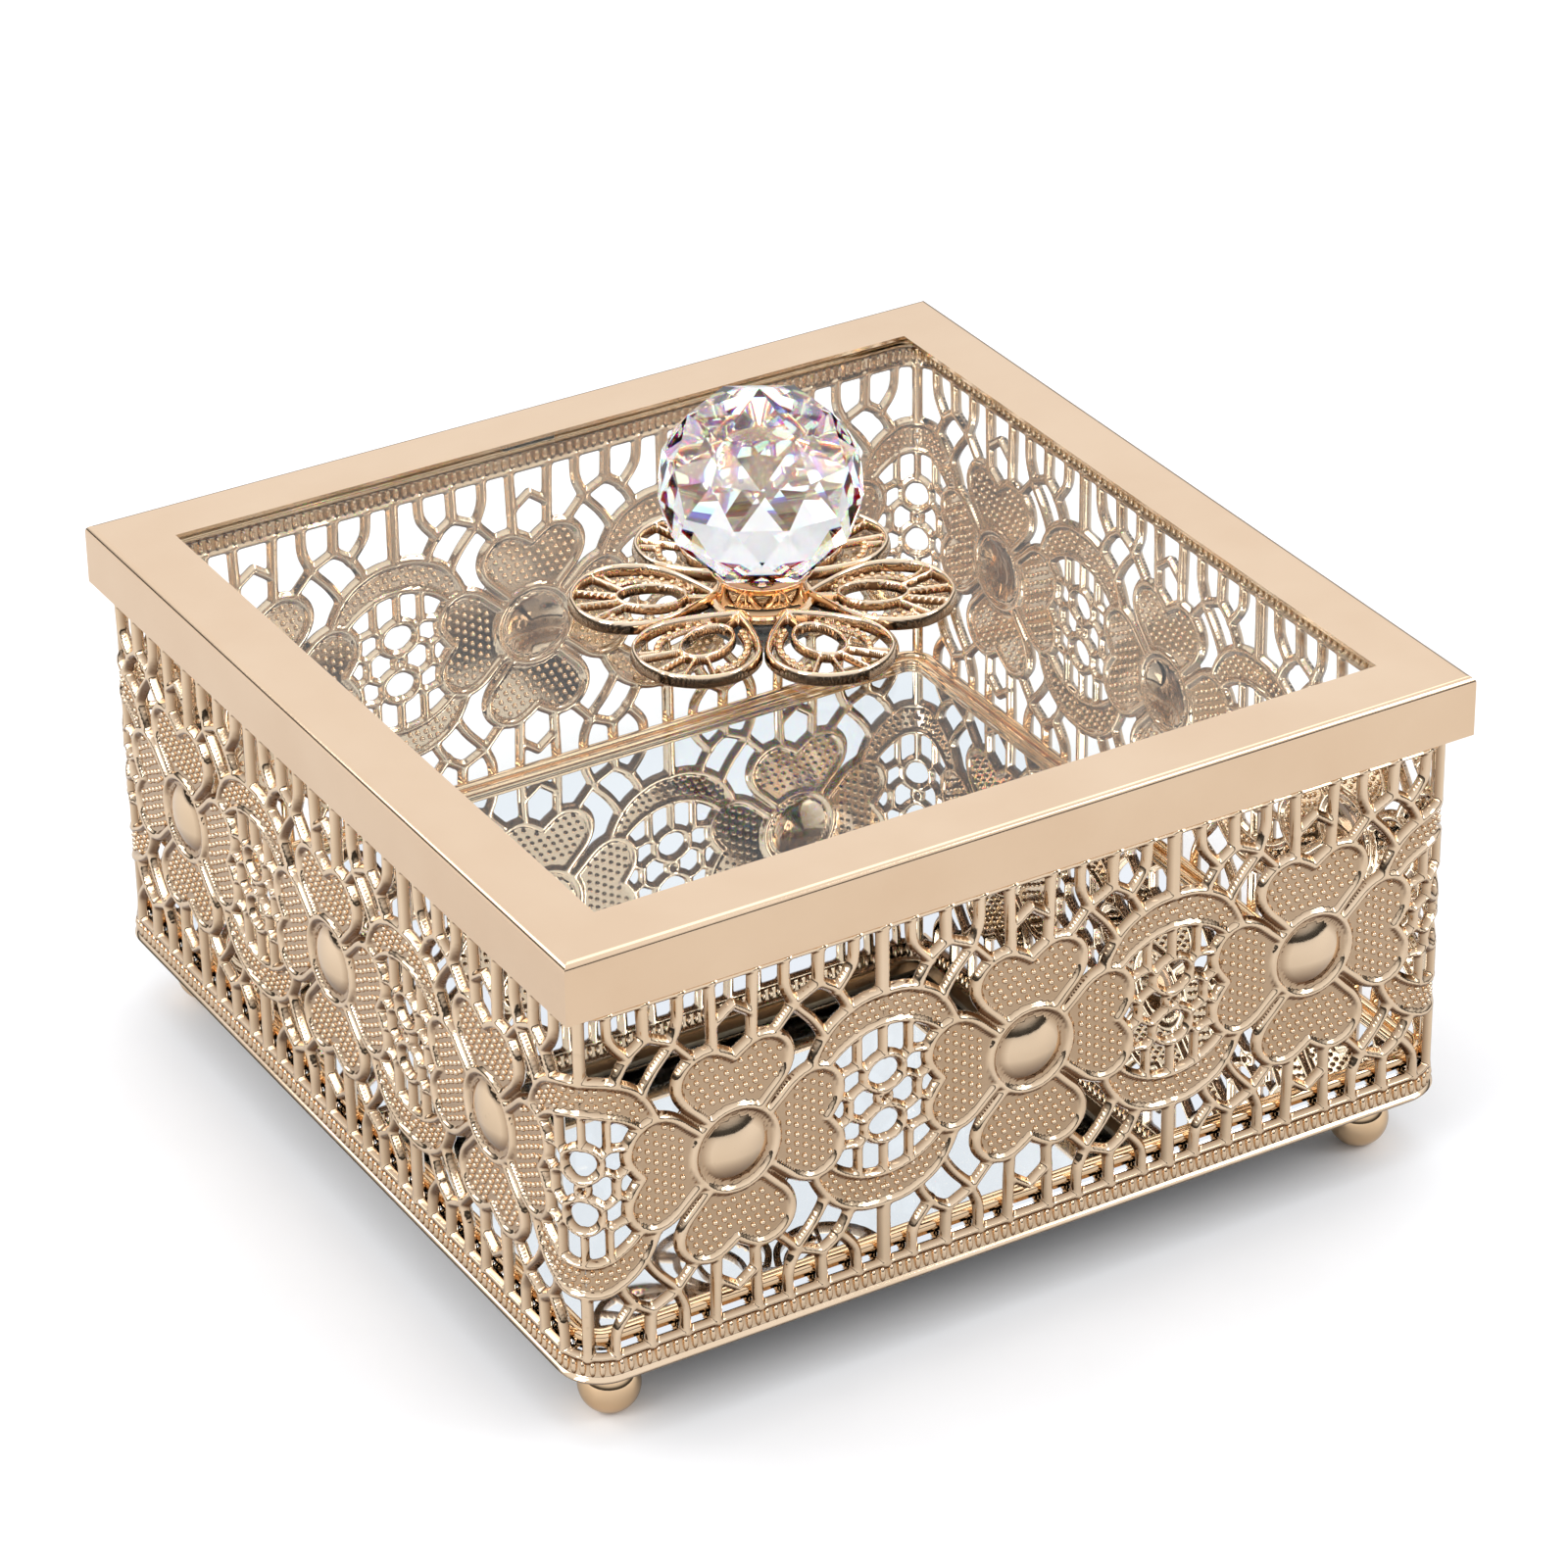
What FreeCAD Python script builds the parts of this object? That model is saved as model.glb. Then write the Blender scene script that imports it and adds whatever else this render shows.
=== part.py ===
"""Square filigree vanity trinket box with a lift-off glass lid, millimetres, +Z up.

The origin is at the middle of the square, on the surface that the ball feet stand on.
The pieces are stacked from the surface upwards: feet, base, wall band, lid and knob.
"""
import FreeCAD
import Part
import math
import os

V = FreeCAD.Vector
UP = V(0, 0, 1)
ORIGIN = V(0, 0, 0)

# ---------------------------------------------------------------- driving dimensions
lid_side = 150.0            # outside of the lid's skirt, square
lid_skirt = 9.6             # height of the lid's skirt
lid_flange = 10.3           # width of the flat frame round the glass
lid_gauge = 0.6             # sheet the lid frame is folded from
lid_bend_radius = 1.1       # outside radius of the fold
lid_clearance = 0.3         # gap between the skirt and the wall

glass_thickness = 3.0
glass_edge_gap = 0.4        # from the skirt to the edge of the pane
bed_thickness = 0.4         # adhesive bed between the flange and the pane
bed_width = 6.0
retainer_width = 2.4        # strip soldered in the skirt under the pane
retainer_thickness = 1.0
bumper_thickness = 1.8
bumper_length = 9.0
bumper_width = 2.0

wall_height = 64.0
wall_thickness = 1.6
wall_corner_radius = 6.6    # outside radius of the band's corners
band_height = 4.9           # closed border along the top and bottom of the band
flowers_per_side = 3

base_gauge = 1.0            # plate soldered in the bottom of the wall
card_thickness = 1.6        # card under the mirror
mirror_thickness = 3.0
mirror_edge_gap = 0.3
mirror_bevel = 1.2
bezel_width = 3.2           # stepped rim that holds the mirror down
bezel_height = 1.8
bezel_step = 0.8
felt_thickness = 0.8
felt_inset = 3.0            # from the wall's inner face to the felt's edge

foot_diameter = 9.2
foot_inset = 10.25          # from the lid's outer face to the middle of a foot
foot_neck_diameter = 5.4
foot_neck_height = 2.0
foot_land_radius = 1.3      # small turned flat that the foot stands on
foot_screw_diameter = 3.0
foot_screw_head_diameter = 5.6
foot_screw_head_height = 1.0
foot_screw_depth = 5.5      # how far the screw goes into the foot
foot_washer_diameter = 7.0
foot_washer_thickness = 0.5

knob_screw_diameter = 4.0
knob_screw_head_diameter = 8.0
knob_screw_head_height = 2.4
knob_screw_reach = 2.4      # how deep the collar's threaded hole is
screw_clearance = 0.1       # radial, in the threads
screw_tip_gap = 0.3         # from the screw's tip to the bottom of its hole
hole_clearance = 0.5        # radial, through plates and the pane
driver_slot_width = 1.0
driver_slot_depth = 0.5

pad_radius = 8.6            # clear washer between the pane and the rosette
pad_thickness = 0.6
under_washer_radius = 8.0
rubber_washer_thickness = 1.0
steel_washer_thickness = 0.8

rosette_thickness = 1.2
rosette_hub_radius = 8.8
petal_count = 6
petal_first_angle = 30.0    # two petals point along Y, none along X
petal_tip_radius = 28.6
petal_half_width = 9.3
petal_root_radius = 6.5
petal_rim = 1.2
petal_loop_middle = 16.2
petal_loop_radii = (5.2, 3.6)
petal_rib = 0.9

collar_radius = 7.1
collar_height = 4.6
collar_waist = 0.5          # how far the collar is drawn in at its middle

ball_diameter = 30.0        # cut crystal ball, across the flats of its widest ring
ball_facets = 12            # corners in the widest ring, an even number
ball_row_latitude = 23.0
ball_crown_latitude = 48.0
ball_glue_gap = 0.05
cup_depth = 1.9             # how deep the ball sits in the collar

# ---------------------------------------------------------------- levels and half sizes
foot_radius = foot_diameter / 2
foot_middle = math.sqrt(foot_radius**2 - foot_land_radius**2)
wall_bottom = foot_middle + foot_radius + foot_neck_height
wall_top = wall_bottom + wall_height
retainer_bottom = wall_top + bumper_thickness
glass_bottom = retainer_bottom + retainer_thickness
glass_top = glass_bottom + glass_thickness
flange_bottom = glass_top + bed_thickness
lid_top = flange_bottom + lid_gauge

lid_half = lid_side / 2
skirt_inner = lid_half - lid_gauge
wall_half = skirt_inner - lid_clearance
wall_inner = wall_half - wall_thickness
wall_inner_radius = wall_corner_radius - wall_thickness
glass_half = skirt_inner - glass_edge_gap
foot_place = lid_half - foot_inset

base_top = wall_bottom + base_gauge
mirror_bottom = base_top + card_thickness
mirror_top = mirror_bottom + mirror_thickness
bezel_top = mirror_top + bezel_height
mirror_half = wall_inner - mirror_edge_gap

rosette_bottom = glass_top + pad_thickness
collar_bottom = rosette_bottom + rosette_thickness
collar_top = collar_bottom + collar_height
ball_radius = ball_diameter / 2 / math.cos(math.pi / ball_facets)     # to the corners
cup_rim_radius = math.sqrt(ball_radius**2 - (ball_radius - cup_depth) ** 2)
ball_middle = collar_top - cup_depth + ball_radius + ball_glue_gap


# ---------------------------------------------------------------- helpers
def rounded_square(half, radius, z):
    """A square wire with round corners, centred on the Z axis."""
    if radius <= 0:
        corners = [V(half, -half, z), V(half, half, z), V(-half, half, z), V(-half, -half, z)]
        return Part.makePolygon(corners + corners[:1])
    edges = []
    middle = half - radius
    for quarter in range(4):
        turn = math.radians(90 * quarter)
        cos, sin = math.cos(turn), math.sin(turn)

        def place(x, y):
            return V(x * cos - y * sin, x * sin + y * cos, z)

        bend = radius * math.sqrt(0.5)
        edges.append(Part.makeLine(place(half, -middle), place(half, middle)))
        edges.append(Part.Arc(
            place(half, middle), place(middle + bend, middle + bend), place(middle, half)
        ).toShape())
    return Part.Wire(edges)


def plate(half, radius, bottom, thickness):
    """A square plate with round corners."""
    return Part.Face(rounded_square(half, radius, bottom)).extrude(V(0, 0, thickness))


def ring_plate(half, radius, inner_half, inner_radius, bottom, thickness):
    """A square frame with round corners."""
    outer = plate(half, radius, bottom, thickness)
    return outer.cut(plate(inner_half, inner_radius, bottom - 1, thickness + 2))


def disc(radius, bottom, height, x=0.0, y=0.0):
    return Part.makeCylinder(radius, height, V(x, y, bottom), UP)


def feet_places():
    return [(sx * foot_place, sy * foot_place) for sy in (-1, 1) for sx in (-1, 1)]


def driver_slot(radius, bottom, x=0.0, y=0.0):
    """The straight slot in the head of a screw."""
    return Part.makeBox(
        2 * radius + 1, driver_slot_width, driver_slot_depth,
        V(x - radius - 0.5, y - driver_slot_width / 2, bottom),
    )


# ---------------------------------------------------------------- wall band
# The band repeats flower, medallion, flower, medallion round the box, and every corner
# is the middle of a medallion. One quarter of the repeat is drawn here on a cell that
# is 24.25 wide, from the flower's middle to the medallion's, and 32 high, from the
# flower's row to the band's edge. It is stretched to the band's real sizes.
CELL_WIDTH, CELL_HEIGHT, CELL_BORDER = 24.25, 32.0, 4.9

FLOWER_HOLES_MIRRORED = [
    [(4.5, 26.9), (7.6, 26.9), (8.0, 21.0), (6.4, 18.7), (4.2, 18.7)],
    [(9.4, 26.9), (13.0, 26.9), (13.0, 22.9), (9.8, 21.6)],
    [(10.6, 20.0), (13.8, 21.2), (16.0, 19.6), (17.2, 17.1), (15.3, 14.9), (13.0, 17.6)],
    [(9.4, 17.9), (10.6, 17.8), (12.6, 15.6), (13.3, 13.4), (12.0, 10.2), (10.6, 10.0)],
    [(15.0, 26.9), (18.6, 26.9), (18.0, 23.6), (16.4, 21.6), (15.0, 22.4)],
]
FLOWER_HOLES_MIDDLE = [
    [(-2.4, 26.9), (2.4, 26.9), (2.3, 22.6), (0.0, 24.0), (-2.3, 22.6)],
    [(0.0, 21.7), (2.1, 20.4), (2.1, 18.2), (0.0, 16.9), (-2.1, 18.2), (-2.1, 20.4)],
]
# From the medallion's middle.
MEDALLION_HOLES_MIRRORED = [
    [(1.1, 26.9), (3.9, 26.9), (4.2, 23.0), (4.9, 19.6), (1.1, 19.0)],
    [(0.8, 7.6), (0.8, 11.5), (3.3, 11.1), (3.3, 7.2)],
]
MEDALLION_HOLES_MIDDLE = [
    [(2.4, 4.2), (1.6, 5.9), (-1.6, 5.9), (-2.4, 4.2), (-1.6, 2.5), (1.6, 2.5)],
]
MEDALLION_SIDE_HOLES = [
    [(2.4, 0.8), (3.5, 1.9), (4.7, 1.1), (4.7, -1.1), (3.5, -1.9), (2.4, -0.8)],
]

cell_height = wall_height / 2
side_straight = wall_half - wall_corner_radius
neutral_radius = wall_corner_radius
repeat = (2 * side_straight + neutral_radius * math.pi / 2) / flowers_per_side
stretch_u = repeat / 2 / CELL_WIDTH
stretch_v = (cell_height - band_height) / (CELL_HEIGHT - CELL_BORDER)
row_z = wall_bottom + cell_height


def flip(points, along_u, along_v):
    return [(u * along_u, v * along_v) for u, v in points]


def flower_holes():
    holes = []
    for side_v in (1, -1):
        holes += [flip(hole, 1, side_v) for hole in FLOWER_HOLES_MIDDLE]
        for side_u in (1, -1):
            holes += [flip(hole, side_u, side_v) for hole in FLOWER_HOLES_MIRRORED]
    return holes


def medallion_holes():
    holes = []
    for side_v in (1, -1):
        holes += [flip(hole, 1, side_v) for hole in MEDALLION_HOLES_MIDDLE]
        for side_u in (1, -1):
            holes += [flip(hole, side_u, side_v) for hole in MEDALLION_HOLES_MIRRORED]
    for side_u in (1, -1):
        holes += [flip(hole, side_u, 1) for hole in MEDALLION_SIDE_HOLES]
    return holes


def wall_side():
    """One flat stretch of the band, facing -Y, with its holes."""
    def upright(points):
        corners = [V(u, -wall_half, z) for u, z in points]
        return Part.Face(Part.makePolygon(corners + corners[:1]))

    outline = upright([(-side_straight, wall_bottom), (side_straight, wall_bottom),
                       (side_straight, wall_top), (-side_straight, wall_top)])
    first = -(flowers_per_side - 1) / 2
    drills = []
    for number in range(flowers_per_side):
        flower = (first + number) * repeat
        drills += [(flower, hole) for hole in flower_holes()]
    for number in range(flowers_per_side + 1):
        medallion = (first - 0.5 + number) * repeat
        drills += [(medallion, hole) for hole in medallion_holes()]
    holes = []
    for middle, hole in drills:
        points = [(middle + u * stretch_u, row_z + v * stretch_v) for u, v in hole]
        if min(abs(u) for u, _ in points) < side_straight:
            holes.append(upright(points))
    return outline.cut(holes).extrude(V(0, wall_thickness, 0))


def corner_chord(u):
    """How far along the corner's diagonal chord a point lies, from its length u on the band."""
    bend = wall_corner_radius * math.pi / 4
    inside = max(-bend, min(bend, u))
    return wall_corner_radius * math.sin(inside / wall_corner_radius) + (u - inside) * math.sqrt(0.5)


def wall_corner():
    """The round stretch at the +X -Y corner, with a medallion wrapped round it."""
    centre = V(side_straight, -side_straight, wall_bottom)
    outer = Part.makeCylinder(wall_corner_radius, wall_height, centre, UP, 90)
    inner = Part.makeCylinder(wall_inner_radius, wall_height, centre, UP, 90)
    corner = outer.cut(inner)
    corner.rotate(centre, UP, -90)
    outwards = V(math.sqrt(0.5), -math.sqrt(0.5), 0)
    along = V(math.sqrt(0.5), math.sqrt(0.5), 0)
    bend = wall_corner_radius * math.pi / 4
    holes = [(0.0, hole) for hole in medallion_holes()]
    for flower in (-repeat / 2, repeat / 2):
        holes += [(flower, hole) for hole in flower_holes()]
    drills = []
    for middle, hole in holes:
        points = [(middle + u * stretch_u, cell_height + v * stretch_v) for u, v in hole]
        if min(abs(u) for u, _ in points) < bend:
            corners = [centre + along * corner_chord(u) + UP * height for u, height in points]
            face = Part.Face(Part.makePolygon(corners + corners[:1]))
            drills.append(face.extrude(outwards * (wall_corner_radius + 1)))
    return corner.cut(drills)


def wall_band():
    pieces = []
    side, corner = wall_side(), wall_corner()
    for quarter in range(4):
        for piece in (side, corner):
            turned = piece.copy()
            turned.rotate(ORIGIN, UP, 90 * quarter)
            pieces.append(turned)
    return pieces[0].multiFuse(pieces[1:])


# ---------------------------------------------------------------- base
def base_plate():
    """Plate soldered in the bottom of the wall, with a hole for each foot's screw."""
    shape = plate(wall_inner, wall_inner_radius, wall_bottom, base_gauge)
    holes = [
        disc(foot_screw_diameter / 2 + hole_clearance, wall_bottom - 1, base_gauge + 2, x, y)
        for x, y in feet_places()
    ]
    return shape.cut(holes)


def mirror_card():
    """Card that backs the mirror and leaves room for the heads of the foot screws."""
    shape = plate(mirror_half, wall_inner_radius - mirror_edge_gap, base_top, card_thickness)
    pocket = max(foot_washer_diameter, foot_screw_head_diameter) / 2 + hole_clearance
    holes = [disc(pocket, base_top - 1, card_thickness + 2, x, y) for x, y in feet_places()]
    return shape.cut(holes)


def mirror():
    """Mirror plate with a polished bevel along its top edge."""
    radius = wall_inner_radius - mirror_edge_gap
    shape = plate(mirror_half, radius, mirror_bottom, mirror_thickness)
    rim = [e for e in shape.Edges if abs(e.BoundBox.ZMin - mirror_top) < 1e-6
           and abs(e.BoundBox.ZMax - mirror_top) < 1e-6]
    return shape.makeChamfer(min(mirror_bevel, mirror_thickness / 2), rim)


def mirror_bezel():
    """Stepped metal rim between the wall and the mirror."""
    inner = wall_inner - bezel_width
    low_inner = inner + bezel_step
    top_inner = low_inner + bezel_step
    radius = wall_inner_radius
    half_height = bezel_height / 2
    lower = ring_plate(wall_inner, radius, inner, radius - bezel_width, mirror_top, half_height)
    upper = ring_plate(
        wall_inner, radius, top_inner, radius - bezel_width + 2 * bezel_step,
        mirror_top + half_height, half_height)
    return lower.fuse(upper).removeSplitter()


def base_felt():
    """Felt glued under the base plate, cut out round the feet."""
    shape = plate(wall_inner - felt_inset, wall_inner_radius, wall_bottom - felt_thickness,
                  felt_thickness)
    holes = [
        disc(foot_neck_diameter / 2 + 1, wall_bottom - felt_thickness - 1, felt_thickness + 2, x, y)
        for x, y in feet_places()
    ]
    return shape.cut(holes)


def foot(x, y):
    """Turned ball foot with a neck and a blind threaded hole."""
    ball = Part.makeSphere(foot_radius, V(x, y, foot_middle))
    under = Part.makeBox(foot_diameter + 2, foot_diameter + 2, 2,
                         V(x - foot_radius - 1, y - foot_radius - 1, -2))
    neck = disc(foot_neck_diameter / 2, foot_middle, wall_bottom - foot_middle, x, y)
    shape = ball.cut(under).fuse(neck).removeSplitter()
    drill = disc(foot_screw_diameter / 2 + screw_clearance,
                 wall_bottom - foot_screw_depth - screw_tip_gap, foot_screw_depth + 1, x, y)
    return shape.cut(drill)


def foot_washers():
    bore = foot_screw_diameter / 2 + hole_clearance
    return Part.makeCompound([
        disc(foot_washer_diameter / 2, base_top, foot_washer_thickness, x, y).cut(
            disc(bore, base_top - 1, foot_washer_thickness + 2, x, y))
        for x, y in feet_places()
    ])


def foot_screws():
    """Screws that go down through the base plate into the feet."""
    head_bottom = base_top + foot_washer_thickness
    screws = []
    for x, y in feet_places():
        head = disc(foot_screw_head_diameter / 2, head_bottom, foot_screw_head_height, x, y)
        shank = disc(foot_screw_diameter / 2, wall_bottom - foot_screw_depth,
                     head_bottom - wall_bottom + foot_screw_depth, x, y)
        slot = driver_slot(foot_screw_head_diameter / 2,
                           head_bottom + foot_screw_head_height - driver_slot_depth, x, y)
        screws.append(head.fuse(shank).removeSplitter().cut(slot))
    return Part.makeCompound(screws)


# ---------------------------------------------------------------- lid
def lid_frame():
    """Folded frame: a flat flange round the pane and a skirt over the wall."""
    bottom = lid_top - lid_skirt
    block = Part.makeBox(lid_side, lid_side, lid_skirt, V(-lid_half, -lid_half, bottom))
    folds = [e for e in block.Edges if abs(e.BoundBox.ZMin - lid_top) < 1e-6]
    block = block.makeFillet(min(lid_bend_radius, lid_skirt / 2), folds)
    inside = Part.makeBox(2 * skirt_inner, 2 * skirt_inner, lid_skirt - lid_gauge,
                          V(-skirt_inner, -skirt_inner, bottom))
    inner_bend = lid_bend_radius - lid_gauge
    if inner_bend > 0:
        folds = [e for e in inside.Edges if abs(e.BoundBox.ZMin - flange_bottom) < 1e-6]
        inside = inside.makeFillet(inner_bend, folds)
    window = lid_half - lid_flange
    opening = Part.makeBox(2 * window, 2 * window, lid_gauge * 6,
                           V(-window, -window, flange_bottom - lid_gauge * 2))
    return block.cut(inside).cut(opening)


def glass_bed():
    """Adhesive bed between the flange and the pane."""
    outer = glass_half - 0.6
    return ring_plate(outer, 0, outer - bed_width, 0, glass_top, bed_thickness)


def lid_glass():
    shape = plate(glass_half, 1.0, glass_bottom, glass_thickness)
    return shape.cut(disc(knob_screw_diameter / 2 + hole_clearance + 0.5,
                          glass_bottom - 1, glass_thickness + 2))


def glass_retainer():
    """Strip frame soldered in the skirt, which holds the pane up."""
    return ring_plate(skirt_inner, 0, skirt_inner - retainer_width, 0,
                      retainer_bottom, retainer_thickness)


def lid_bumpers():
    """Clear pads under the retainer, which rest on the band's top edge."""
    outer = skirt_inner - lid_clearance
    pads = []
    for quarter in range(4):
        pad = Part.makeBox(bumper_length, bumper_width, bumper_thickness,
                           V(-bumper_length / 2, outer - bumper_width, wall_top))
        pad.rotate(ORIGIN, UP, 90 * quarter)
        pads.append(pad)
    return Part.makeCompound(pads)


# ---------------------------------------------------------------- knob
def washer(radius, bottom, thickness):
    bore = disc(knob_screw_diameter / 2 + hole_clearance, bottom - 1, thickness + 2)
    return disc(radius, bottom, thickness).cut(bore)


def petal():
    """One open petal pointing along +X: a rim, a loop near its root and ribs between."""
    bulb_middle = petal_tip_radius - petal_half_width

    def outline(inset):
        """A circle with two tangents that meet at the root."""
        radius = petal_half_width - inset
        root = petal_root_radius + inset * 1.8
        reach = bulb_middle - root
        angle = math.acos(radius / reach)
        tangent_x = bulb_middle - radius * math.cos(angle)
        tangent_y = radius * math.sin(angle)
        tip = V(bulb_middle + radius, 0, 0)
        return Part.Face(Part.Wire([
            Part.makeLine(V(root, 0, 0), V(tangent_x, -tangent_y, 0)),
            Part.Arc(V(tangent_x, -tangent_y, 0), tip, V(tangent_x, tangent_y, 0)).toShape(),
            Part.makeLine(V(tangent_x, tangent_y, 0), V(root, 0, 0)),
        ]))

    def loop(extra):
        long, wide = petal_loop_radii
        ellipse = Part.Ellipse(V(petal_loop_middle, 0, 0), long + extra, wide + extra)
        return Part.Face(Part.Wire(ellipse.toShape()))

    rim = outline(0).cut(outline(petal_rim))
    ring = loop(0).cut(loop(-petal_rib))
    inside = outline(petal_rim).cut(loop(0))
    ribs = []
    for angle in (-90, -38, 0, 38, 90):
        rib = Part.makePlane(petal_tip_radius, petal_rib, V(0, -petal_rib / 2, 0))
        rib.rotate(ORIGIN, UP, angle)
        rib.translate(V(petal_loop_middle, 0, 0))
        ribs.append(rib.common(inside))
    return [f.extrude(V(0, 0, rosette_thickness)) for f in [rim, ring] + ribs]


def rosette():
    """Six open petals round a hub, cast in one."""
    pieces = []
    for number in range(petal_count):
        angle = petal_first_angle + number * 360 / petal_count
        for piece in petal():
            piece.rotate(ORIGIN, UP, angle)
            pieces.append(piece)
    hub = disc(rosette_hub_radius, 0, rosette_thickness)
    shape = hub.multiFuse(pieces).removeSplitter()
    shape.translate(V(0, 0, rosette_bottom))
    return shape.cut(disc(knob_screw_diameter / 2 + hole_clearance,
                          rosette_bottom - 1, rosette_thickness + 2))


def knob_collar():
    """Waisted collar with a cup for the ball and a threaded hole from below."""
    waist = collar_radius - collar_waist
    middle = (collar_bottom + collar_top) / 2
    side = Part.Arc(V(collar_radius, 0, collar_bottom), V(waist, 0, middle),
                    V(cup_rim_radius + 0.3, 0, collar_top)).toShape()
    profile = Part.Wire([
        Part.makeLine(V(0, 0, collar_bottom), V(collar_radius, 0, collar_bottom)),
        side,
        Part.makeLine(V(cup_rim_radius + 0.3, 0, collar_top), V(0, 0, collar_top)),
        Part.makeLine(V(0, 0, collar_top), V(0, 0, collar_bottom)),
    ])
    body = Part.Face(profile).revolve(ORIGIN, UP, 360)
    cup = Part.makeSphere(ball_radius + ball_glue_gap, V(0, 0, ball_middle))
    thread = disc(knob_screw_diameter / 2 + screw_clearance, collar_bottom - 1,
                  knob_screw_reach + 1)
    return body.cut(cup).cut(thread)


def crystal_ball():
    """Ball cut in flat triangular facets that meet in a point at the top and the bottom.

    From the top: the point, a crown ring of half as many corners, a full ring, and the
    widest ring, whose corners are turned by half a facet. The lower half mirrors it.
    """
    turn = 2 * math.pi / ball_facets

    def ring(latitude, count, shift):
        radius = ball_radius * math.cos(math.radians(latitude))
        height = ball_middle + ball_radius * math.sin(math.radians(latitude))
        step = 2 * math.pi / count
        return [V(radius * math.cos(k * step + shift), radius * math.sin(k * step + shift), height)
                for k in range(count)]

    def facet(*corners):
        return Part.Face(Part.makePolygon(list(corners) + [corners[0]]))

    widest = ring(0, ball_facets, turn / 2)
    faces = []
    for side in (1, -1):
        point = V(0, 0, ball_middle + side * ball_radius)
        crown = ring(side * ball_crown_latitude, ball_facets // 2, turn)
        full = ring(side * ball_row_latitude, ball_facets, turn)
        for k in range(ball_facets // 2):
            here, there = crown[k], crown[(k + 1) % len(crown)]
            before, between, after = (full[(2 * k + i) % len(full)] for i in range(3))
            faces += [facet(point, here, there), facet(here, there, between),
                      facet(here, before, between), facet(there, between, after)]
        for k in range(ball_facets):
            following = (k + 1) % ball_facets
            faces += [facet(full[k], full[following], widest[following]),
                      facet(widest[k], widest[following], full[k])]
    ball = Part.Solid(Part.Shell(faces))
    if ball.Volume < 0:
        ball.reverse()
    return ball


def knob_screw():
    """Screw that clamps the pane between the washers and the collar."""
    head_top = glass_bottom - rubber_washer_thickness - steel_washer_thickness
    head = disc(knob_screw_head_diameter / 2, head_top - knob_screw_head_height,
                knob_screw_head_height)
    shank = disc(knob_screw_diameter / 2, head_top,
                 collar_bottom + knob_screw_reach - screw_tip_gap - head_top)
    slot = driver_slot(knob_screw_head_diameter / 2, head_top - knob_screw_head_height)
    return head.fuse(shank).removeSplitter().cut(slot)


# ---------------------------------------------------------------- write the nodes
def build():
    nodes = {
        "wall_band": wall_band(),
        "base_plate": base_plate(),
        "mirror_card": mirror_card(),
        "mirror": mirror(),
        "mirror_bezel": mirror_bezel(),
        "base_felt": base_felt(),
        "foot_washers": foot_washers(),
        "foot_screws": foot_screws(),
        "lid_frame": lid_frame(),
        "glass_bed": glass_bed(),
        "lid_glass": lid_glass(),
        "glass_retainer": glass_retainer(),
        "lid_bumpers": lid_bumpers(),
        "rosette_pad": washer(pad_radius, glass_top, pad_thickness),
        "rosette": rosette(),
        "knob_collar": knob_collar(),
        "crystal_ball": crystal_ball(),
        "rubber_washer": washer(under_washer_radius, glass_bottom - rubber_washer_thickness,
                                rubber_washer_thickness),
        "steel_washer": washer(under_washer_radius - 1,
                               glass_bottom - rubber_washer_thickness - steel_washer_thickness,
                               steel_washer_thickness),
        "knob_screw": knob_screw(),
    }
    foot_names = ["foot_front_left", "foot_front_right", "foot_rear_left", "foot_rear_right"]
    for name, (x, y) in zip(foot_names, feet_places()):
        nodes[name] = foot(x, y)
    return nodes


os.makedirs("parts", exist_ok=True)
for node, shape in build().items():
    shape.exportStep(f"parts/{node}.step")
    solids = len(shape.Solids)
    box = shape.optimalBoundingBox()
    print(f"{node:18} solids {solids} valid {shape.isValid()} volume {shape.Volume:9.1f} "
          f"z {box.ZMin:6.2f} to {box.ZMax:6.2f}")
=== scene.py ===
"""Looks of the square filigree vanity trinket box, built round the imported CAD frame.

The wall is cast relief: a field of strut widths is turned into a closed mesh with ridges,
floors and holes, wrapped round the rounded square of the CAD wall. Work sizes are in
millimetres and are turned into metres when a mesh is made.
"""
import math

import bpy
import numpy as np
from mathutils import Matrix, Vector


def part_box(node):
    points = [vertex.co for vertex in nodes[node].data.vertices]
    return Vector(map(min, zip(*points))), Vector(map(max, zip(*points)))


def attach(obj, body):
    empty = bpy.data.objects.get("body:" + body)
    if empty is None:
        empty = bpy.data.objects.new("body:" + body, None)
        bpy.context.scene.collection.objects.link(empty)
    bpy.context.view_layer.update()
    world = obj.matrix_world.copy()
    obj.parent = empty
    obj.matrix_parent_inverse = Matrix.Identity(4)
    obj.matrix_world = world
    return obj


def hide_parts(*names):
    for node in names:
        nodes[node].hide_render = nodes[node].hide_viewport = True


MM = 0.001

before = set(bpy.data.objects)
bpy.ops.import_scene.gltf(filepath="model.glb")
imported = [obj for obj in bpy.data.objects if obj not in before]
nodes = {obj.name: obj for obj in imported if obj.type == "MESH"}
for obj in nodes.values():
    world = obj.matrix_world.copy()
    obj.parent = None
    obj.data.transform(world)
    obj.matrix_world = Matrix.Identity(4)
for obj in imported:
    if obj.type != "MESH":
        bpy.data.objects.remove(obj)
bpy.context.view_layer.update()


# ---------------------------------------------------------------- sizes read from the frame
def cad_box(node):
    low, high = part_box(node)
    return np.array(low) / MM, np.array(high) / MM


wall_low, wall_high = cad_box("wall_band")
bezel_low, bezel_high = cad_box("mirror_bezel")
mirror_low, mirror_high = cad_box("mirror")
rosette_low, _ = cad_box("rosette")

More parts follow.
